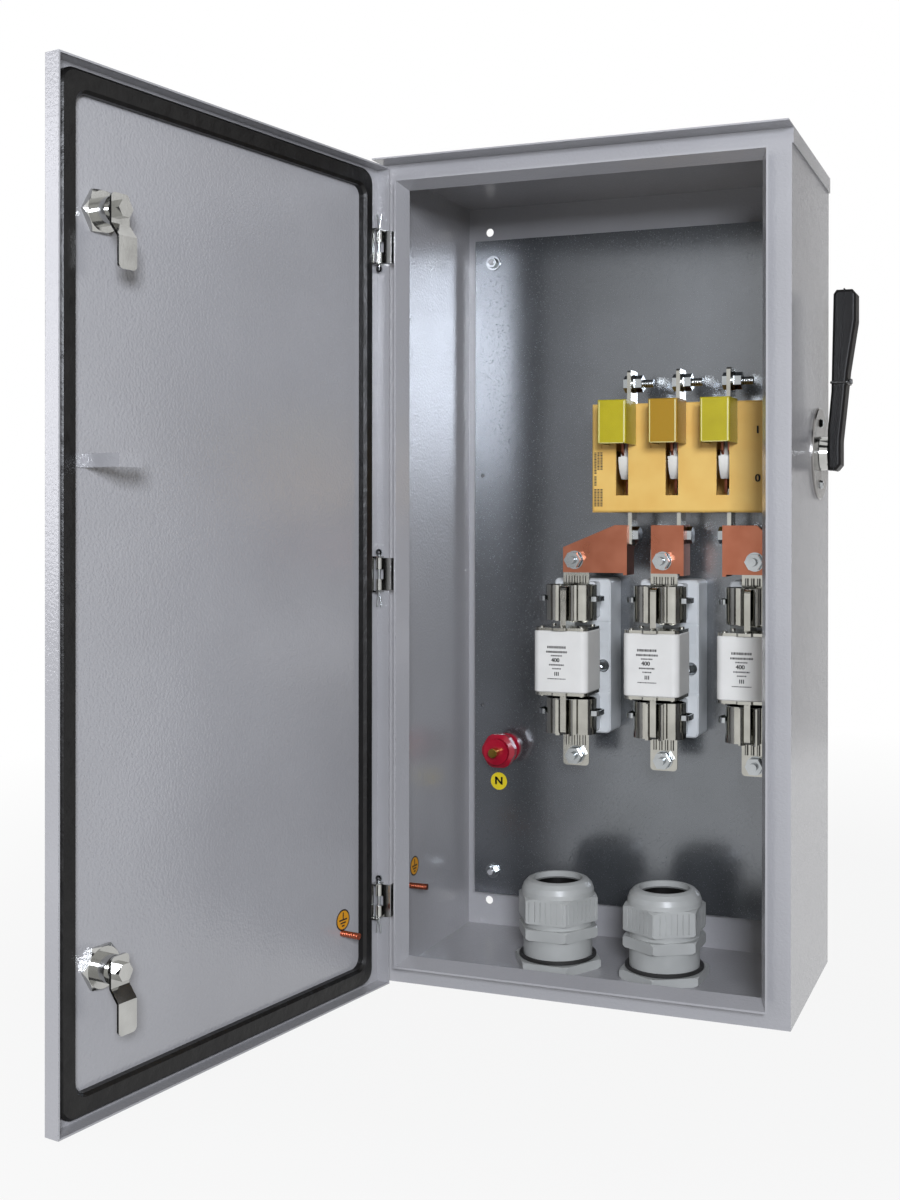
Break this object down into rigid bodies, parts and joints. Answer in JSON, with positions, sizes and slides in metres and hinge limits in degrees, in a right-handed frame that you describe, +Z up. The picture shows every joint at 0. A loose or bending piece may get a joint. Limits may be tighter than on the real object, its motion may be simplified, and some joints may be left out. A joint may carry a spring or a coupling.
{
  "type": "switch fuse box",
  "caption": "Wall-mounted steel switch fuse box with an open hinged door, a rotary knife switch, knife fuses, a neutral post and cable glands.",
  "frame": {"origin": "centre of the four wall holes, on the back plane of the box", "axes": "+X to the right, +Y into the wall, +Z up; the door side faces -Y"},
  "size_m": [0.5079, 0.6223, 0.8015],
  "materials": {
    "grey_paint": "textured powder coat",
    "plate_paint": "smooth blue grey paint",
    "zinc": "zinc plated",
    "bright_steel": "nickel plated",
    "copper_plate": "copper plated steel",
    "copper": "bare rolled copper",
    "tinned_copper": "tin plated copper",
    "brass": "machined brass",
    "seal_rubber": "foamed polyurethane",
    "crimson_moulding": "glossy moulding",
    "cream_moulding": "satin moulding",
    "yellow_moulding": "satin moulding",
    "white_moulding": "satin moulding",
    "base_moulding": "satin moulding",
    "ceramic": "glazed ceramic",
    "gland_nylon": "satin nylon",
    "ring_rubber": "smooth rubber",
    "black_moulding": "satin moulding"
  },
  "bodies": {
    "box": {"arc_chutes": "yellow_moulding", "arc_splitters": "bright_steel", "base_screws": "zinc", "base_terminal_bolts": "zinc", "box_earth_stud": "copper_plate", "box_shell": "grey_paint", "copper_link_left": "copper", "copper_link_middle": "copper", "copper_link_right": "copper", "cover_screws": "zinc", "escutcheon_screws": "zinc", "fuse_base_left": "base_moulding", "fuse_base_middle": "base_moulding", "fuse_base_right": "base_moulding", "fuse_jaws_left": "tinned_copper", "fuse_jaws_middle": "tinned_copper", "fuse_jaws_right": "tinned_copper", "gland_body_left": "gland_nylon", "gland_body_right": "gland_nylon", "gland_cap_left": "gland_nylon", "gland_cap_right": "gland_nylon", "gland_locknuts": "gland_nylon", "gland_rings": "ring_rubber", "gland_seals": "seal_rubber", "handle_escutcheon": "bright_steel", "hinge_leaves": "bright_steel", "hinge_split_pins": "zinc", "jaw_springs": "zinc", "lower_terminals": "tinned_copper", "mounting_plate": "plate_paint", "neutral_insulator": "crimson_moulding", "neutral_stud": "brass", "plate_nuts": "zinc", "roof_cap": "grey_paint", "switch_base": "cream_moulding", "switch_cover": "cream_moulding", "switch_terminal_bolts": "zinc", "upper_terminals": "tinned_copper"},
    "door": {"door_panel": "grey_paint", "door_gasket": "seal_rubber", "interlock_tongue": "grey_paint", "door_earth_stud": "copper_plate", "hinge_brackets": "bright_steel", "lock_housings": "bright_steel", "lock_nuts": "bright_steel"},
    "cam_upper": {"lock_cam_upper": "bright_steel", "cam_screw_upper": "bright_steel"},
    "cam_lower": {"lock_cam_lower": "bright_steel", "cam_screw_lower": "bright_steel"},
    "switch_rotor": {"drive_shaft": "bright_steel", "blade_carriers": "white_moulding", "moving_blades": "copper", "handle_hub": "bright_steel", "switch_handle": "black_moulding"},
    "fuse_left": {"fuse_body_left": "ceramic", "fuse_blades_left": "tinned_copper"},
    "fuse_middle": {"fuse_body_middle": "ceramic", "fuse_blades_middle": "tinned_copper"},
    "fuse_right": {"fuse_body_right": "ceramic", "fuse_blades_right": "tinned_copper"}
  },
  "joints": [
    {"name": "door_hinge", "type": "hinge", "parent": "box", "child": "door", "pos_m": [-0.1958, -0.23, 0], "axis": [0, 0, 1], "range_deg": [0, 100]},
    {"name": "upper_cam_turn", "type": "hinge", "parent": "door", "child": "cam_upper", "pos_m": [-0.24058, -0.57324, 0.286], "axis": [-0.9848, 0.1736, 0], "range_deg": [0, 90]},
    {"name": "lower_cam_turn", "type": "hinge", "parent": "door", "child": "cam_lower", "pos_m": [-0.24058, -0.57324, -0.286], "axis": [-0.9848, 0.1736, 0], "range_deg": [0, 90]},
    {"name": "switch_turn", "type": "hinge", "parent": "box", "child": "switch_rotor", "pos_m": [0.1, -0.062, 0.1176], "axis": [1, 0, 0], "range_deg": [0, 90]},
    {"name": "fuse_pull_left", "type": "slide", "parent": "box", "child": "fuse_left", "axis": [0, -1, 0], "range_m": [0, 0.045]},
    {"name": "fuse_pull_middle", "type": "slide", "parent": "box", "child": "fuse_middle", "axis": [0, -1, 0], "range_m": [0, 0.045]},
    {"name": "fuse_pull_right", "type": "slide", "parent": "box", "child": "fuse_right", "axis": [0, -1, 0], "range_m": [0, 0.045]}
  ]
}
